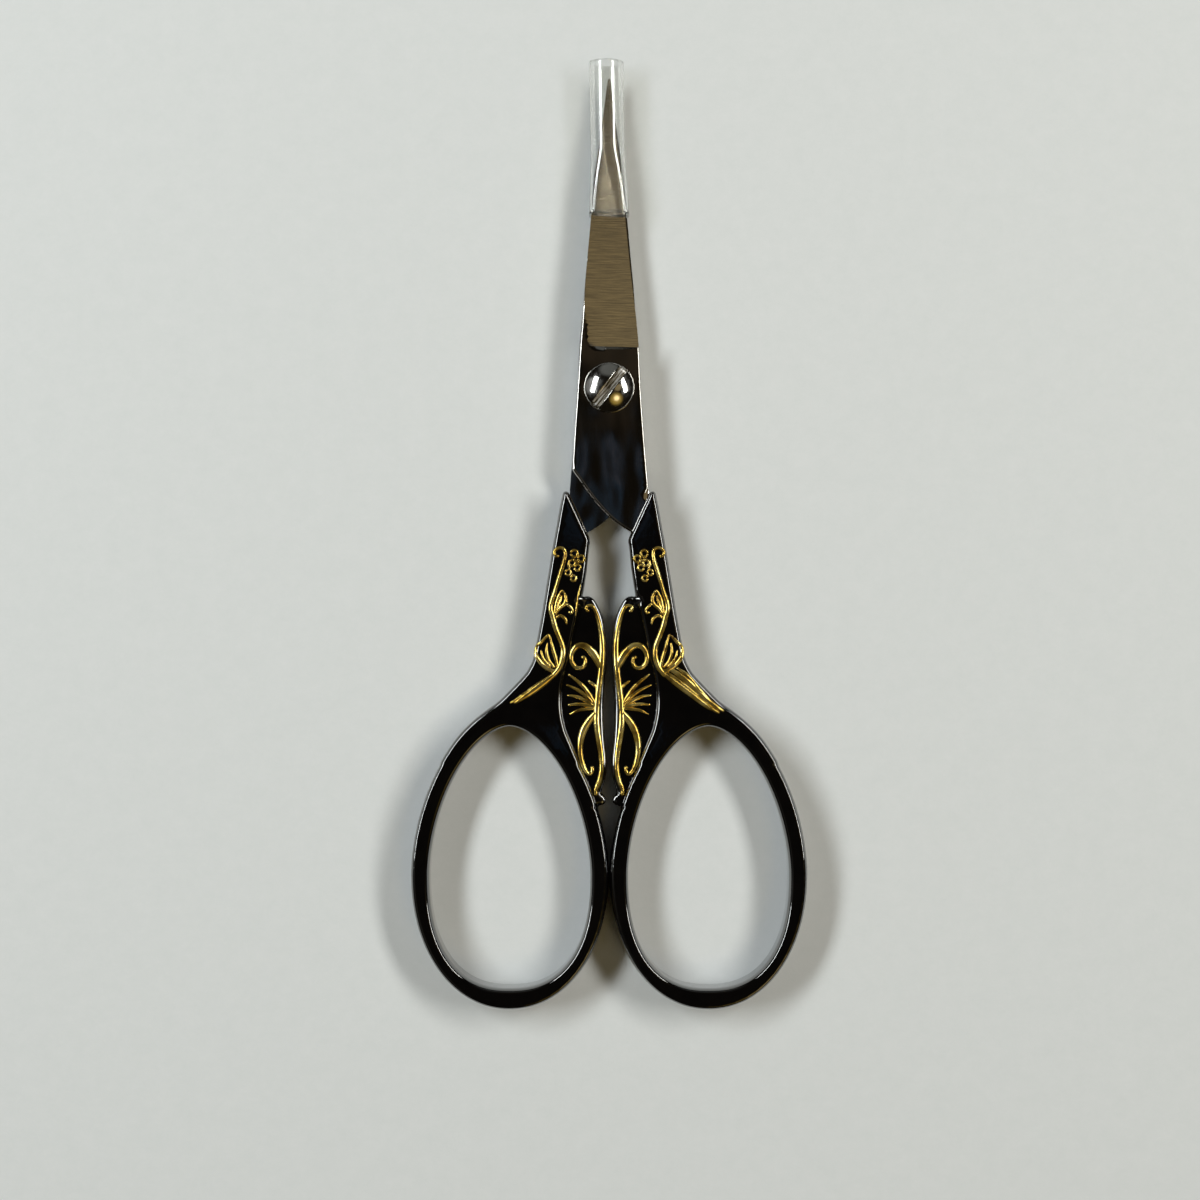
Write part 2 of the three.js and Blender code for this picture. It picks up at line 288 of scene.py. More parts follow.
def plate(loops, depth, top, bottom, offsets, pitch, extra=(), lines=()):
    """Vertices and faces of a flat piece, and the middles of its top faces, which come first. loops[0] is
    its outline and the others its holes. depth(points) is the distance inside, top and bottom give the
    heights, offsets are the rows of points that follow the outlines, extra is more points, and lines are
    kept as edges."""
    points, edges = [], []
    for loop in [*loops, *lines]:
        first = len(points)
        closed = any(loop is one for one in loops)
        points.extend(loop)
        edges.extend((first + i, first + i + 1) for i in range(len(loop) - 1))
        if closed:
            edges.append((first + len(loop) - 1, first))
    inner = []
    for index, loop in enumerate(loops):
        step = inward(loop) * (1 if index == 0 else -1)
        for offset in offsets:
            row = loop + step * offset
            inner.append(row[depth(row) > 0.93 * offset])
    low, high = loops[0].min(0), loops[0].max(0)
    gx, gy = np.meshgrid(np.arange(low[0], high[0], pitch), np.arange(low[1], high[1], pitch * 0.866))
    gx[1::2] += pitch / 2
    grid = np.stack([gx.ravel(), gy.ravel()], axis=1)
    inner.append(grid[depth(grid) > offsets[-1] + 0.45 * pitch])
    for more in extra:
        inner.append(more[depth(more) > 0.02])
    points = np.vstack([np.array(points), *inner])
    cdt = geometry.delaunay_2d_cdt([Vector(p) for p in points], edges, [], 0, 1e-5)
    flat = np.array([tuple(v) for v in cdt[0]])
    triangles = np.array(cdt[2])
    middle = flat[triangles].mean(1)
    triangles = triangles[depth(middle) > 0]
    a, b, c = (flat[triangles[:, i]] for i in range(3))
    turn = (b[:, 0] - a[:, 0]) * (c[:, 1] - a[:, 1]) - (b[:, 1] - a[:, 1]) * (c[:, 0] - a[:, 0])
    triangles[turn < 0] = triangles[turn < 0][:, ::-1]
    triangles = triangles[np.abs(turn) > 1e-9]
    count = len(flat)
    verts = np.vstack([np.column_stack([flat, top(flat)]), np.column_stack([flat, bottom(flat)])])
    # edges with a face on one side only are the rim, and get the wall
    half_edges = {}
    for t in triangles:
        for i, j in ((t[0], t[1]), (t[1], t[2]), (t[2], t[0])):
            half_edges[(int(i), int(j))] = True
    wall = [(i, j) for i, j in half_edges if (j, i) not in half_edges]
    faces = [tuple(t) for t in triangles]
    faces += [(t[0] + count, t[2] + count, t[1] + count) for t in triangles]
    faces += [(j, i, i + count, j + count) for i, j in wall]
    return verts, faces, flat[triangles].mean(1)


def lathe(profile, segments):
    """A turned solid round Z from (radius, height) points, open where the radius is 0."""
    verts, faces = [], []
    for r, z in profile:
        for i in range(segments):
            t = 2 * math.pi * i / segments
            verts.append((r * math.cos(t), r * math.sin(t), z))
    for row in range(len(profile) - 1):
        for i in range(segments):
            j = (i + 1) % segments
            a, b = row * segments, (row + 1) * segments
            faces.append((a + i, a + j, b + j, b + i))
    return verts, faces


# ---- materials ----
def new_material(name):
    material = bpy.data.materials.new(name)
    material.use_nodes = True
    nodes, links = material.node_tree.nodes, material.node_tree.links
    shader = nodes["Principled BSDF"]
    return material, nodes, links, shader


def noise(nodes, links, scale, detail=4.0, stretch=(1, 1, 1), rough=0.55, turn=(0, 0, 0)):
    """Noise in object space: scale is in features per millimetre."""
    coords = nodes.new("ShaderNodeTexCoord")
    mapping = nodes.new("ShaderNodeMapping")
    mapping.vector_type = "TEXTURE"
    mapping.inputs["Scale"].default_value = [0.001 / (scale * s) for s in stretch]
    mapping.inputs["Rotation"].default_value = turn
    texture = nodes.new("ShaderNodeTexNoise")
    texture.inputs["Scale"].default_value = 1.0
    texture.inputs["Detail"].default_value = detail
    texture.inputs["Roughness"].default_value = rough
    links.new(coords.outputs["Object"], mapping.inputs["Vector"])
    links.new(mapping.outputs["Vector"], texture.inputs["Vector"])
    return texture.outputs["Fac"]


def ramp(nodes, links, source, stops):
    """A colour ramp: stops are (position, value or colour)."""
    node = nodes.new("ShaderNodeValToRGB")
    elements = node.color_ramp.elements
    while len(elements) < len(stops):
        elements.new(0.5)
    for element, (position, value) in zip(elements, stops):
        element.position = position
        element.color = (*value, 1) if isinstance(value, tuple) else (value, value, value, 1)
    links.new(source, node.inputs["Fac"])
    return node.outputs["Color"]


def bump(nodes, links, shader, height, strength, distance):
    """distance is in millimetres."""
    node = nodes.new("ShaderNodeBump")
    node.inputs["Strength"].default_value = strength
    node.inputs["Distance"].default_value = distance * 0.001
    links.new(height, node.inputs["Height"])
    links.new(node.outputs["Normal"], shader.inputs["Normal"])
    return node


def enamel_material():
    material, nodes, links, shader = new_material("black_enamel")
    tint = noise(nodes, links, 0.5)
    links.new(ramp(nodes, links, tint, [(0.3, (0.0010, 0.0010, 0.0012)), (0.7, (0.0024, 0.0020, 0.0020))]),
              shader.inputs["Base Color"])
    smudge = noise(nodes, links, 0.8, 6)
    links.new(ramp(nodes, links, smudge, [(0.35, 0.03), (0.75, 0.08)]), shader.inputs["Roughness"])
    shader.inputs["IOR"].default_value = 2.0
    shader.inputs["Coat Weight"].default_value = 1.0
    shader.inputs["Coat Roughness"].default_value = 0.03
    bump(nodes, links, shader, noise(nodes, links, 1.6, 3), 0.2, 0.02)
    return material


def gold_material():
    material, nodes, links, shader = new_material("gold_paint")
    worn = noise(nodes, links, 0.6, 2)
    stops = [(0.3, (0.24, 0.14, 0.025)), (0.46, (0.64, 0.44, 0.09)), (0.64, (0.97, 0.77, 0.27))]
    links.new(ramp(nodes, links, worn, stops), shader.inputs["Base Color"])
    shader.inputs["Metallic"].default_value = 0.82
    patchy = noise(nodes, links, 0.8, 2)
    links.new(ramp(nodes, links, patchy, [(0.3, 0.10), (0.7, 0.20)]), shader.inputs["Roughness"])
    bump(nodes, links, shader, noise(nodes, links, 1.3, 2), 0.25, 0.04)
    return material


def polished_material():
    material, nodes, links, shader = new_material("polished_steel")
    tint = noise(nodes, links, 0.35, 3)
    links.new(ramp(nodes, links, tint, [(0.3, (0.50, 0.49, 0.47)), (0.7, (0.60, 0.58, 0.55))]),
              shader.inputs["Base Color"])
    shader.inputs["Metallic"].default_value = 1.0
    marks = noise(nodes, links, 0.9, 8, (1, 0.12, 1), 0.7, (0, 0, 0.08))
    links.new(ramp(nodes, links, marks, [(0.35, 0.04), (0.75, 0.13)]), shader.inputs["Roughness"])
    scratches = noise(nodes, links, 9, 5, (1, 0.03, 1), 0.8, (0, 0, -0.1))
    fine = bump(nodes, links, shader, scratches, 0.12, 0.01)
    slow = nodes.new("ShaderNodeBump")
    slow.inputs["Strength"].default_value = 1.0
    slow.inputs["Distance"].default_value = 0.00016
    links.new(noise(nodes, links, 0.16, 1, (1.4, 0.7, 1)), slow.inputs["Height"])
    links.new(slow.outputs["Normal"], fine.inputs["Normal"])
    return material


def ground_material():
    material, nodes, links, shader = new_material("ground_steel")
    lines = noise(nodes, links, 7, 3, (0.012, 1, 0.2), 0.7)
    links.new(ramp(nodes, links, lines, [(0.34, (0.34, 0.32, 0.28)), (0.66, (0.64, 0.61, 0.55))]),
              shader.inputs["Base Color"])
    shader.inputs["Metallic"].default_value = 1.0
    links.new(ramp(nodes, links, lines, [(0.3, 0.15), (0.7, 0.10)]), shader.inputs["Roughness"])
    bump(nodes, links, shader, lines, 0.4, 0.014)
    return material


def slot_material():
    """The screw's slot, as sawn."""
    material, nodes, links, shader = new_material("sawn_steel")
    lines = noise(nodes, links, 3.2, 3, (1, 0.1, 1), 0.75, (0, 0, SLOT_TURN - math.pi / 2))
    stops = [(0.43, (0.05, 0.04, 0.02)), (0.5, (0.45, 0.40, 0.32)), (0.57, (0.97, 0.96, 0.94))]
    links.new(ramp(nodes, links, lines, stops), shader.inputs["Base Color"])
    shader.inputs["Metallic"].default_value = 1.0
    links.new(ramp(nodes, links, lines, [(0.3, 0.5), (0.7, 0.35)]), shader.inputs["Roughness"])
    bump(nodes, links, shader, lines, 0.7, 0.06)
    return material


def screw_material():
    material, nodes, links, shader = new_material("screw_steel")
    tint = noise(nodes, links, 0.7, 4)
    links.new(ramp(nodes, links, tint, [(0.3, (0.62, 0.61, 0.58)), (0.7, (0.74, 0.72, 0.69))]),
              shader.inputs["Base Color"])
    shader.inputs["Metallic"].default_value = 1.0
    smudge = noise(nodes, links, 2, 6)
    links.new(ramp(nodes, links, smudge, [(0.35, 0.07), (0.8, 0.2)]), shader.inputs["Roughness"])
    bump(nodes, links, shader, noise(nodes, links, 4, 5), 0.12, 0.02)
    return material


def clear_material():
    material, nodes, links, shader = new_material("clear_plastic")
    tint = noise(nodes, links, 0.2, 3)
    links.new(ramp(nodes, links, tint, [(0.3, (0.95, 0.96, 0.95)), (0.7, (0.99, 0.99, 0.98))]),
              shader.inputs["Base Color"])
    smudge = noise(nodes, links, 0.6, 4)
    links.new(ramp(nodes, links, smudge, [(0.3, 0.02), (0.7, 0.05)]), shader.inputs["Roughness"])
    shader.inputs["IOR"].default_value = 1.46
    shader.inputs["Transmission Weight"].default_value = 0.99
    shader.inputs["Coat Weight"].default_value = 1.0
    shader.inputs["Coat Roughness"].default_value = 0.10
    bump(nodes, links, shader, noise(nodes, links, 0.2, 1), 0.03, 0.1)
    # lamps shine through it, less the light that its walls turn aside
    clear = nodes.new("ShaderNodeBsdfTransparent")
    clear.inputs["Color"].default_value = (0.90, 0.90, 0.885, 1)
    path = nodes.new("ShaderNodeLightPath")
    lamp = nodes.new("ShaderNodeMath")
    lamp.operation = "MAXIMUM"
    links.new(path.outputs["Is Shadow Ray"], lamp.inputs[0])
    links.new(path.outputs["Is Diffuse Ray"], lamp.inputs[1])
    mix = nodes.new("ShaderNodeMixShader")
    links.new(lamp.outputs["Value"], mix.inputs["Fac"])
    links.new(shader.outputs["BSDF"], mix.inputs[1])
    links.new(clear.outputs["BSDF"], mix.inputs[2])
    links.new(mix.outputs["Shader"], nodes["Material Output"].inputs["Surface"])
    return material


def floor_material():
    material, nodes, links, shader = new_material("pale_floor")
    tint = noise(nodes, links, 0.35, 8, rough=0.85)
    links.new(ramp(nodes, links, tint, [(0.3, (0.765, 0.795, 0.800)), (0.7, (0.815, 0.835, 0.845))]),
              shader.inputs["Base Color"])
    shader.inputs["Roughness"].default_value = 0.75
    bump(nodes, links, shader, noise(nodes, links, 1.2, 6), 0.15, 0.1)
    return material


# ---- blades ----
def heel_edge():
    return spline([(-4.55, -9.6), (-4.45, -10.25), (-3.6, -11.45), (-2.5, -13), (-1.5, -14.3),
                   (0, -15.9), (1.2, -16.9), (2.8, -17.9)], 0.2)


def blade_outline():
    spine = spline([(-0.1, TIP_Y), (-0.25, 37.6), (-0.45, 36), (-0.82, 33.1), (-1.19, 30.3),
                    (-1.58, 27.8), (-1.92, 25.4), (-2.2, 21.5)], 0.25)
    edge = spline([(1.95, 21.5), (1.7, 25.4), (1.38, 27.8), (1.02, 30.3), (0.66, 33.1), (0.38, 36),
                   (0.24, 37.6), (0.1, TIP_Y)], 0.25)
    return loop_of(
        spine,
        spline([(-2.2, 21.5), (-2.62, 16.8), (-3.05, 12.3), (-3.35, 8), (-3.6, 5), (-3.92, 0),
                (-4.3, -5.5), (-4.55, -9.6)], 0.25),
        heel_edge(),
        resample(np.array([(2.8, -17.9), (3.4, -19.5)]), 0.3),
        resample(np.array([(3.9, -24.5), (5.3, -24.5)]), 0.3),
        resample(np.array([(5.5, -17), (4.95, -14)]), 0.3),
        spline([(4.85, -12.3), (4.3, -5.5), (3.92, 0), (3.68, 5), (3.42, 8), (3.2, 10), (2.95, 12),
                (2.6, 15), (1.95, 21.5)], 0.25),
        edge,
    )


def ground_border(y):
    """Where the ground facet runs out into the polished face."""
    return -2.6 - 0.11 * (y - 6)


def ground_depth(p):
    """Distance inside the facet's lower end and its rounded lower left corner."""
    x = p[:, 0] - ground_border(p[:, 1]) + GROUND_RUN_OUT - GROUND_CORNER
    y = p[:, 1] - GROUND_END_Y - GROUND_CORNER
    corner = np.hypot(np.minimum(x, 0), np.minimum(y, 0))
    beyond = np.minimum(np.maximum(-x, -y), 0)
    return GROUND_CORNER - corner - beyond


def facet_height(p):
    across = (BLADE_THICK - EDGE_THICK) / (3.65 - ground_border(6))
    plane = BLADE_THICK - across * (p[:, 0] - ground_border(p[:, 1]))
    run_out = np.clip(1 - ground_depth(p) / GROUND_RUN_OUT, 0, 3) ** 2 * 1.35
    return BLADE_GAP + plane + run_out


def blade_mesh():
    outline = blade_outline()
    hole = circle(HOLE_R, 48)
    heel = heel_edge()
    heel_loop = np.vstack([heel, heel[-2:0:-1]])
    along = heel[1:] - heel[:-1]
    heel_in = np.stack([-along[:, 1], along[:, 0]], axis=1)
    heel_in /= np.linalg.norm(heel_in, axis=1)[:, None]

    def depth(p):
        return np.minimum(signed_distance(p, outline), np.hypot(p[:, 0], p[:, 1]) - HOLE_R)

    def rim(p):
        bevel = HEEL_BEVEL * np.clip(1 - np.abs(signed_distance(p, heel_loop)) / HEEL_BEVEL_WIDE, 0, 1)
        return BLADE_GAP + BLADE_THICK - bevel - round_over(signed_distance(p, outline), BLADE_EDGE)

    def top(p):
        return np.minimum(rim(p), facet_height(p))

    meet = Field((-4.4, 4.4), (4.2, 18.5), 0.05, lambda p: rim(p) - facet_height(p))
    borders = [row for level in (-0.02, 0.0, 0.03, 0.1, 0.25, 0.6) for row in meet.contours(level, 0.1)]
    end = Field((-4.4, 4.4), (4.2, 8.5), 0.04, ground_depth)
    borders += [row for level in (0.0, 0.025, 0.05, 0.075, 0.095, 0.15) for row in end.contours(level, 0.1)]
    borders += [heel[:-1] + heel_in * d for d in (0.28, HEEL_BEVEL_WIDE, 0.4)]
    verts, faces, middles = plate([outline, hole], depth, top, lambda p: np.full(len(p), BLADE_GAP),
                                  (0.02, 0.06, 0.11, 0.17, 0.24), 0.45, borders)
    is_ground = facet_height(middles) < rim(middles)
    return verts, faces, is_ground


def make_blades(polished, ground):
    verts, faces, is_ground = blade_mesh()
    slots = np.zeros(len(faces), int)
    slots[: len(is_ground)] = is_ground
    for name, node, body, turned in [("blade_front", "front_blade", "front_half", False),
                                     ("blade_rear", "rear_blade", "rear_half", True)]:
        points = to_row(verts, turned)
        add_piece(name, node, body, points, faces, [polished, ground], slots, 40)


# ---- handles ----
def arm_outline():
    outer = spline([(5.75, -13.05), (6.1, -14.7), (6.5, -17), (7.05, -20), (7.7, -24), (8.35, -28),
                    (9, -31.5), (9.4, -33.4), (9.9, -34.5), (10.5, -35.4), (12, -37), (14, -39),
                    (15, -39.9), (17, -41.8), (18.6, -43.6), (20.2, -46.1)])
    inner = spline([(4.1, -46), (4.65, -44), (5.35, -42), (5.75, -40.2), (5.85, -38.4), (5.6, -36),
                    (4.7, -32), (3.95, -28.3), (3.15, -25.2)])
    nose = spline([(3.15, -25.2), (2.75, -22.5), (2.5, -20), (2.35, -18.9), (2.5, -18.3)])
    return loop_of(outer, inner, nose, [(4.95, -13.0), (5.2, -12.75), (5.55, -12.75)])


def wing_outline():
    inner = spline([(3.7, -26.3), (3.2, -25.85), (2.6, -25.7), (2, -26), (1.5, -26.7), (0.8, -28.4),
                    (0.42, -31), (0.36, -34), (0.6, -37.2), (0.72, -40), (0.6, -43), (0.32, -46),
                    (0.42, -48), (0.9, -49.5), (0.9, -50.1), (0.5, -50.5), (0.42, -51), (0.75, -51.45),
                    (1.2, -51.5), (1.7, -51.9)])
    return loop_of(inner, [(2.6, -51.6), (5.4, -45.5), (7, -41), (6.9, -36), (6, -30), (4.9, -26.6)])


class Handle:
    """The casting's shape, with the front blade's handle on the right."""

    def __init__(self):
        low, high = (-0.6, -77.3), (25.1, -12.0)
        arm, outer, hole, wing = arm_outline(), egg(RING_OUTER), egg(RING_HOLE), wing_outline()
        self.band = Field(low, high, 0.12, lambda p: np.minimum(
            soft_max(signed_distance(p, arm), signed_distance(p, outer), 1.2), -signed_distance(p, hole)))
        self.solid = Field(low, high, 0.12,
                           lambda p: soft_max(self.band(p), signed_distance(p, wing), 0.3))

    def plateau(self, p):
        high = ARM_HALF + (RING_HALF - ARM_HALF) * smooth((-39.5 - p[:, 1]) / 8)
        step = high - WING_HALF
        rise = np.clip(self.band(p) / 0.45, 0, 1)
        return WING_HALF + step * np.sqrt(1 - (1 - rise) ** 2)

    def top(self, p):
        return self.plateau(p) - round_over(self.solid(p), HANDLE_EDGE, HANDLE_EDGE_WIDE)

    def mesh(self):
        loops = self.solid.contours(0.0, 0.16)
        loops.sort(key=lambda loop: -len(loop))
        step = [row for level in (-0.03, 0.012, 0.04, 0.09, 0.16, 0.25, 0.35, 0.45)
                for row in self.band.contours(level, 0.14)]
        step = [row[self.solid(row) > 0.45] for row in step]
        return plate(loops[:2], self.solid, self.top, lambda p: -self.top(p),
                     (0.012, 0.04, 0.09, 0.15, 0.22, 0.30, 0.39, 0.5, 0.62), 0.6, step)


def make_handles(handle, enamel):
    verts, faces, _ = handle.mesh()
    for name, node, body, turned in [("handle_right", "right_handle", "front_half", False),
                                     ("handle_left", "left_handle", "rear_half", True)]:
        add_piece(name, node, body, to_row(verts, turned), faces, [enamel], sharp=60)


# ---- gold relief ----
def stroke(handle, points, widths):
    """A raised line on the casting: widths are spread evenly along it."""
    path = spline(points, 0.1)
    n = len(path)
    run = np.concatenate([[0], np.cumsum(np.linalg.norm(np.diff(path, axis=0), axis=1))])
    wide = np.interp(np.linspace(0, 1, n), np.linspace(0, 1, len(widths)), widths) / 2
    from_end = np.minimum(run, run[-1] - run)
    blunt = np.sqrt(1 - np.clip(1 - from_end / wide.clip(0.05), 0, 1) ** 2)
    wide = wide * (0.15 + 0.85 * blunt)
    along = np.gradient(path, axis=0)
    along /= np.linalg.norm(along, axis=1)[:, None]
    side = np.stack([-along[:, 1], along[:, 0]], axis=1)
    base = handle.top(path)
    angles = np.linspace(-math.pi / 2, math.pi / 2, 9)
    lift = np.minimum(RELIEF_HIGH, wide * 1.1) * (0.35 + 0.65 * blunt)
    rows = []
    for a in angles:
        flat = path + side * (wide * math.sin(a))[:, None]
        rows.append(np.column_stack([flat, base + lift * math.cos(a) ** 0.8 - 0.01]))
    for a in (angles[-1], angles[0]):
        flat = path + side * (wide * math.sin(a))[:, None]
        rows.append(np.column_stack([flat, base - 0.12]))
    k = len(rows)
    verts = np.stack(rows, axis=1).reshape(-1, 3)
    faces = []
    for i in range(n - 1):
        for j in range(k):
            a, b = i * k + j, i * k + (j + 1) % k
            faces.append((a, b, b + k, a + k))
    faces.append(tuple(range(k)))
    faces.append(tuple((n - 1) * k + j for j in reversed(range(k))))
    return verts, faces


def ringlet(cx, cy, r, wide):
    t = np.linspace(0, 2 * math.pi, 14)
    return [(cx + r * math.cos(a), cy + r * math.sin(a)) for a in t], [wide, wide]


ARM_STROKES = [
    # curl and stem
    ([(6.15, -20.75), (6.55, -20.75), (6.75, -20.3), (6.5, -19.9), (6, -19.75), (5.55, -19.95), (5.4, -20.6),
      (5.6, -21.6), (5.95, -22.7), (6.35, -24), (6.75, -25.3), (7.1, -26.4), (7.2, -27.3), (6.95, -28.2),
      (6.65, -29.4), (6.2, -30.6), (5.8, -31.6), (5.65, -32.6), (5.8, -33.6), (6.2, -34.6), (7, -35.6)],
     [0.35, 0.4, 0.5, 0.45, 0.55, 0.66, 0.6, 0.65, 0.6]),
    # blossom
    ringlet(4.3, -20.45, 0.42, 0.3),
    ringlet(3.45, -21.1, 0.4, 0.3),
    ringlet(4.55, -21.6, 0.36, 0.28),
    ringlet(3.9, -22.2, 0.36, 0.28),
    ringlet(5.05, -22.8, 0.34, 0.26),
    ringlet(4.4, -23.5, 0.34, 0.28),
    ([(3.6, -21.5), (4.1, -21.4), (4.5, -21.1)], [0.3, 0.4, 0.3]),
    ([(4.9, -21.2), (5.0, -21.9), (4.8, -22.4)], [0.2, 0.35, 0.2]),
    # pointed leaf
    ([(6.7, -28), (6.1, -27.2), (5.45, -26.6), (5.35, -25.8), (5.8, -24.9)], [0.35, 0.4, 0.5, 0.4, 0.2]),
    ([(6.7, -28), (6.55, -26.9), (6.3, -25.9), (5.8, -24.9)], [0.35, 0.4, 0.4, 0.2]),
    ([(6.6, -27.7), (6.1, -26.6), (5.85, -25.6)], [0.25, 0.35, 0.2]),
    # tendril and petals
    ([(5.3, -26.6), (4.9, -26.9), (4.5, -27.4), (4.65, -27.8), (5, -27.6)], [0.35, 0.35, 0.3, 0.25]),
    ([(6.6, -28.4), (6, -28.1), (5.4, -28.5), (5.2, -29.2)], [0.3, 0.4, 0.4, 0.2]),
    # bud
    ([(6.4, -34.9), (7.2, -34.8), (8.2, -34.1), (8.95, -33), (8.9, -31.9), (8.3, -31.3), (7.4, -30.35)],
     [0.4, 0.55, 0.55, 0.45, 0.4, 0.25]),
    ([(6.3, -34.6), (6.55, -33.4), (6.9, -32.2), (7.4, -30.35)], [0.4, 0.45, 0.4, 0.2]),
    ([(6.7, -34.5), (7.4, -33.6), (7.7, -32.5), (7.6, -31.4)], [0.3, 0.4, 0.4, 0.2]),
    ([(7.2, -34.4), (8.1, -33.4), (8.4, -32.3)], [0.3, 0.35, 0.2]),
]

# On the front handle the leaf is broad and feathered. On the rear one it is slim.
BROAD_LEAF = [
    ([(6.5, -35), (7.6, -35.9), (8.9, -36.9), (10.4, -38), (12, -39.2), (13.6, -40.1)],
     [0.5, 0.7, 0.75, 0.7, 0.6, 0.25]),
    ([(7.2, -34.6), (8.2, -35.1), (9.3, -35.9), (10.6, -37.1), (12.2, -38.6), (14.1, -39.9)],
     [0.35, 0.7, 0.8, 0.75, 0.65, 0.25]),
    ([(8.3, -34.5), (9.2, -35.1), (10.2, -36.1), (11.2, -37.3), (12.8, -38.9)], [0.2, 0.5, 0.5, 0.4, 0.2]),
    ([(6.9, -34.9), (8.2, -35.8), (10, -37.2), (11.6, -38.5)], [0.2, 0.35, 0.35, 0.2]),
]
SLIM_LEAF = [
    ([(6.6, -35.2), (7.6, -36), (8.8, -36.9), (10.2, -37.9), (11.7, -38.9)], [0.5, 0.8, 0.85, 0.7, 0.3]),
    ([(8.0, -35.9), (9.2, -36.8), (10.4, -37.7), (12.2, -38.9)], [0.2, 0.4, 0.4, 0.2]),
    # gold along the arm's inner edge
    ([(3.5, -24.2), (3.75, -25.4), (3.98, -26.8), (4.15, -28.2)], [0.12, 0.24, 0.24, 0.12]),
]

WING_STROKES = [
    # curl and stem
    ([(2.4, -27.55), (2.75, -27.45), (2.8, -27.05), (2.45, -26.85), (2, -27), (1.65, -27.6), (1.35, -28.5),
      (1.08, -29.7), (0.9, -31), (0.84, -32.4), (0.92, -34), (1.1, -35.8), (1.32, -37.5), (1.47, -39),
      (1.55, -40.6), (1.48, -42), (1.25, -43.5), (1.02, -45), (0.92, -46.3), (1.0, -47.5), (1.3, -48.6),
      (1.65, -49.5), (1.6, -50.3)],
     [0.35, 0.45, 0.55, 0.66, 0.72, 0.76, 0.74, 0.7, 0.74, 0.7, 0.6, 0.55, 0.45]),
    # spiral
    ([(1.0, -34.7), (1.4, -33.7), (2.1, -32.6), (3, -31.85), (3.9, -31.85), (4.55, -32.6), (4.65, -33.6),
      (4.1, -34.45), (3.35, -34.5), (2.95, -34), (3, -33.35), (3.45, -33.2)],
     [0.6, 0.95, 1.0, 0.85, 0.7, 0.6, 0.55, 0.5, 0.45, 0.4]),
    # fan
    ([(1.5, -39.5), (2.1, -38.3), (3.2, -36.8), (5.0, -35.3)], [0.35, 0.5, 0.46, 0.2]),
    ([(1.5, -39.4), (2.5, -38.3), (3.8, -37.3), (5.25, -36.6)], [0.35, 0.48, 0.42, 0.2]),
    ([(1.6, -39.4), (2.7, -38.7), (3.9, -38.1), (5.2, -37.9)], [0.35, 0.48, 0.42, 0.2]),
    ([(1.7, -39.4), (2.9, -39.1), (4, -39), (5.1, -39.1)], [0.35, 0.46, 0.42, 0.2]),
    ([(1.7, -39.5), (2.8, -39.6), (3.9, -39.8), (4.9, -40.3)], [0.35, 0.44, 0.4, 0.2]),
    ([(1.3, -37.3), (1.9, -36.6), (2.6, -36.1)], [0.3, 0.4, 0.2]),
    # hook
    ([(1.6, -39.9), (2.3, -40.8), (3, -41.9), (3.45, -43.2), (3.58, -44.5), (3.4, -45.8), (3, -47),
      (2.5, -47.6), (2.1, -47.3), (2.1, -46.6)],
     [0.45, 0.8, 0.9, 0.82, 0.7, 0.6, 0.55, 0.45, 0.4]),
]


def relief_mesh(handle, strokes):
    verts, faces = [], []
    for points, widths in strokes:
        v, f = stroke(handle, points, widths)
        faces += [tuple(i + len(verts) for i in face) for face in f]
        verts.extend(v)
    return np.array(verts), faces


def make_relief(handle, gold):
    # turned half round +Y, what lies below comes out on top
    castings = [("right", "front_half", False, "front", "back", BROAD_LEAF),
                ("left", "rear_half", True, "back", "front", SLIM_LEAF)]
    for side, body, turned, top, under, leaf in castings:
        for kind, strokes in (("arm_vine", ARM_STROKES + leaf), ("wing_scroll", WING_STROKES)):
            above, faces = relief_mesh(handle, strokes)
            flipped = [tuple(reversed(face)) for face in faces]
            for face, points, order in ((top, above, faces), (under, above * (1, 1, -1), flipped)):
                node = f"{side}_{kind}_{face}"
                placed = to_row(points, turned)
                add_piece(f"relief_{node}", node, body, placed, order, [gold], sharp=80)


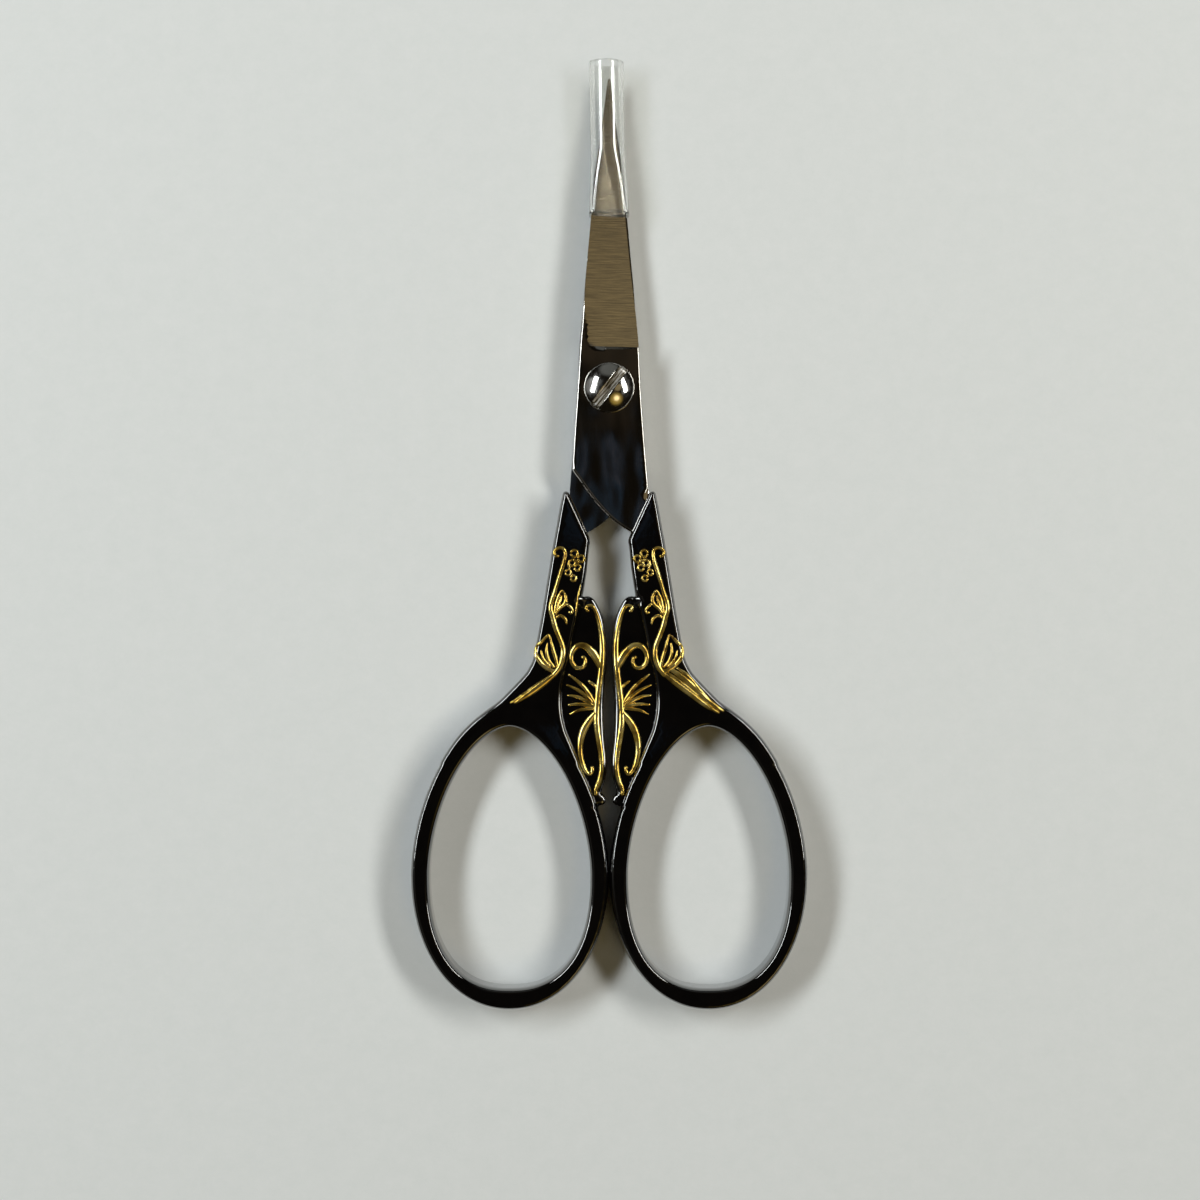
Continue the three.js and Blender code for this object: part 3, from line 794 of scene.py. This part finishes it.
# ---- pivot screw ----
def make_screw(steel, sawn):
    seat = BLADE_GAP + BLADE_THICK + 0.02
    crown = HEAD_HIGH - 0.25
    dome_r = (HEAD_R**2 + crown**2) / (2 * crown)
    c, s = math.cos(SLOT_TURN), math.sin(SLOT_TURN)
    rim = circle(HEAD_R, 144)

    def depth(p):
        return HEAD_R - np.hypot(p[:, 0], p[:, 1])

    def top(p):
        r2 = (p**2).sum(1)
        dome = seat + HEAD_HIGH - dome_r + np.sqrt(dome_r**2 - r2) - round_over(depth(p), HEAD_EDGE)
        across = np.abs(p[:, 1] * c - p[:, 0] * s)
        floor = seat + HEAD_HIGH - SLOT_DEEP
        wall = np.clip((across - SLOT_HALF + SLOT_WALL) / SLOT_WALL, 0, 1)
        lip = round_over(across - SLOT_HALF, SLOT_LIP)
        slotted = floor + (dome - lip - floor) * wall
        return np.where(across < SLOT_HALF, np.minimum(slotted, dome), dome - lip)

    lines = []
    for off in (SLOT_HALF - SLOT_WALL, SLOT_HALF, SLOT_HALF + 0.015, SLOT_HALF + 0.04, SLOT_HALF + 0.08):
        half_long = math.sqrt(HEAD_R**2 - off**2) - 0.004
        along = np.linspace(-half_long, half_long, 60)
        for sign in (-1, 1):
            lines.append(np.stack([along * c - sign * off * s, along * s + sign * off * c], axis=1))
    # the rim also has a point where each of the slot's edges meets it
    angles = [SLOT_TURN + flip + sign * math.asin(off / HEAD_R)
              for off in (SLOT_HALF - SLOT_WALL, SLOT_HALF, SLOT_HALF + 0.04)
              for sign in (-1, 1) for flip in (0, math.pi)]
    around = [np.arctan2(rim[:, 1], rim[:, 0]), np.array(angles)]
    at = np.sort(np.concatenate(around) % (2 * math.pi))
    rim = np.stack([HEAD_R * np.cos(at), HEAD_R * np.sin(at)], axis=1)
    verts, faces, middles = plate([rim], depth, top, lambda p: np.full(len(p), seat),
                                  (0.01, 0.03, 0.06, 0.1, 0.16), 0.22, lines)
    in_slot = np.abs(middles[:, 1] * c - middles[:, 0] * s) < SLOT_HALF
    tail = -(BLADE_GAP + BLADE_THICK + TAIL_PROUD)
    profile = [(SHANK_R, seat), (SHANK_R, tail + 0.3), (SHANK_R - 0.06, tail + 0.14),
               (SHANK_R - 0.18, tail + 0.04), (SHANK_R - 0.36, tail), (0.35, tail),
               (0.12, tail + 0.03), (0.0, tail + 0.03)]
    shank, shank_faces = lathe(profile, 48)
    faces = list(faces) + [tuple(i + len(verts) for i in reversed(f)) for f in shank_faces]
    verts = np.vstack([verts, np.array(shank)])
    slots = np.zeros(len(faces), int)
    slots[: len(middles)] = in_slot
    placed = to_row(verts)
    add_piece("screw", "pivot_screw", "screw", placed, faces, [steel, sawn], slots, 35)


# ---- clear sleeve ----
def make_sleeve(clear):
    length = SLEEVE_TOP_Y - SLEEVE_MOUTH_Y
    inner = SLEEVE_R - SLEEVE_WALL
    along = np.linspace(0, length, 40)
    rim = [(SLEEVE_R - 0.5 * SLEEVE_WALL + 0.5 * SLEEVE_WALL * math.cos(a), -0.06 * math.sin(a))
           for a in np.linspace(0, math.pi, 7)]
    profile = [(SLEEVE_R, y) for y in along[::-1]]
    profile += rim[1:-1]
    profile += [(inner, y) for y in along]
    profile += [(r, length - y) for r, y in reversed(rim[1:-1])]
    segments, verts, faces = 240, [], []
    for r, y in profile:
        stretch = max(0.0, 1 - y / (MOUTH_REACH * length)) ** MOUTH_EASE
        power = 2 + (MOUTH_POWER - 2) * stretch
        for i in range(segments):
            t = 2 * math.pi * i / segments
            c, s = math.cos(t), math.sin(t)
            out = (abs(c) ** power + abs(s) ** power) ** (-1 / power)
            wide = SLEEVE_R + (MOUTH_HALF_WIDE - SLEEVE_R) * stretch - (SLEEVE_R - r)
            high = SLEEVE_R + (MOUTH_HALF_HIGH - SLEEVE_R) * stretch - (SLEEVE_R - r)
            verts.append((c * out * wide + SLEEVE_LEAN * y / length, SLEEVE_MOUTH_Y + y, s * out * high))
    n = len(profile)
    for row in range(n):
        for i in range(segments):
            a, b = row * segments, (row + 1) % n * segments
            j = (i + 1) % segments
            faces.append((a + i, a + j, b + j, b + i))
    add_piece("sleeve", "tip_cover", "cover", to_row(verts), faces, [clear], sharp=80)


# ---- stage, light and camera ----
def softbox(name, place, power, color):
    """A long soft light, level along Y, that faces the origin."""
    data = bpy.data.lights.new(name, "AREA")
    data.shape = "RECTANGLE"
    data.size, data.size_y = SOFTBOX_SIZE
    data.energy = power
    data.color = color
    obj = bpy.data.objects.new(name, data)
    obj.location = place
    obj.rotation_euler = (-Vector(place)).to_track_quat("-Z", "Y").to_euler()
    bpy.context.scene.collection.objects.link(obj)


def make_room():
    """A dim warm room seen in the gloss: each patch is a direction, a colour and how far it spreads."""
    world = bpy.data.worlds.new("room")
    world.use_nodes = True
    nodes, links = world.node_tree.nodes, world.node_tree.links
    coords = nodes.new("ShaderNodeTexCoord")
    total = None
    for axis, color, outer, core in ROOM_PATCHES:
        dot = nodes.new("ShaderNodeVectorMath")
        dot.operation = "DOT_PRODUCT"
        dot.inputs[1].default_value = Vector(axis).normalized()
        links.new(coords.outputs["Generated"], dot.inputs[0])
        spread = nodes.new("ShaderNodeMapRange")
        spread.interpolation_type = "SMOOTHSTEP"
        spread.inputs["From Min"].default_value = outer
        spread.inputs["From Max"].default_value = core
        links.new(dot.outputs["Value"], spread.inputs["Value"])
        patch = nodes.new("ShaderNodeMix")
        patch.data_type = "RGBA"
        patch.inputs["A"].default_value = (0, 0, 0, 1)
        patch.inputs["B"].default_value = (*color, 1)
        links.new(spread.outputs["Result"], patch.inputs["Factor"])
        if total is None:
            total = patch.outputs["Result"]
        else:
            add = nodes.new("ShaderNodeMix")
            add.data_type = "RGBA"
            add.blend_type = "ADD"
            add.inputs["Factor"].default_value = 1
            links.new(total, add.inputs["A"])
            links.new(patch.outputs["Result"], add.inputs["B"])
            total = add.outputs["Result"]
    links.new(total, nodes["Background"].inputs["Color"])
    bpy.context.scene.world = world


def make_stage():
    bpy.ops.mesh.primitive_plane_add(size=3, location=(0, 0, 0))
    floor = bpy.context.object
    floor.name = "floor"
    floor.data.materials.append(floor_material())
    softbox("left_softbox", (-0.5, 0.17, 0.5), 3.30, (0.94, 0.985, 0.985))
    softbox("right_softbox", (0.5, 0.17, 0.5), 2.88, (0.985, 0.98, 0.925))
    bpy.context.scene.view_settings.view_transform = "Standard"


def make_camera():
    data = bpy.data.cameras.new("camera")
    data.sensor_width = 36
    data.lens = 36 * (CAMERA_HIGH - 2 * MID_Z) / VIEW_WIDE
    data.clip_start, data.clip_end = 0.01, 10
    camera = bpy.data.objects.new("camera", data)
    camera.location = (VIEW_CENTRE[0] * 0.001, (VIEW_CENTRE[1] + PIVOT_Y) * 0.001, CAMERA_HIGH * 0.001)
    bpy.context.scene.collection.objects.link(camera)
    bpy.context.scene.camera = camera


# ---- assembly ----
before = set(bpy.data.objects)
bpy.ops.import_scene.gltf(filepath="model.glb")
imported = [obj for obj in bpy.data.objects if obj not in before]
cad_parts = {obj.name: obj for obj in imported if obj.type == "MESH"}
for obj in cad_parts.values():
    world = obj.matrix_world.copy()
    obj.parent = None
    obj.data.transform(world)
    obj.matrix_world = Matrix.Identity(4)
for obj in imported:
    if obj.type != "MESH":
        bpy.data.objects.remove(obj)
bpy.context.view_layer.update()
make_camera()
make_stage()
make_room()
handle = Handle()
make_handles(handle, enamel_material())
make_relief(handle, gold_material())
make_blades(polished_material(), ground_material())
make_screw(screw_material(), slot_material())
make_sleeve(clear_material())
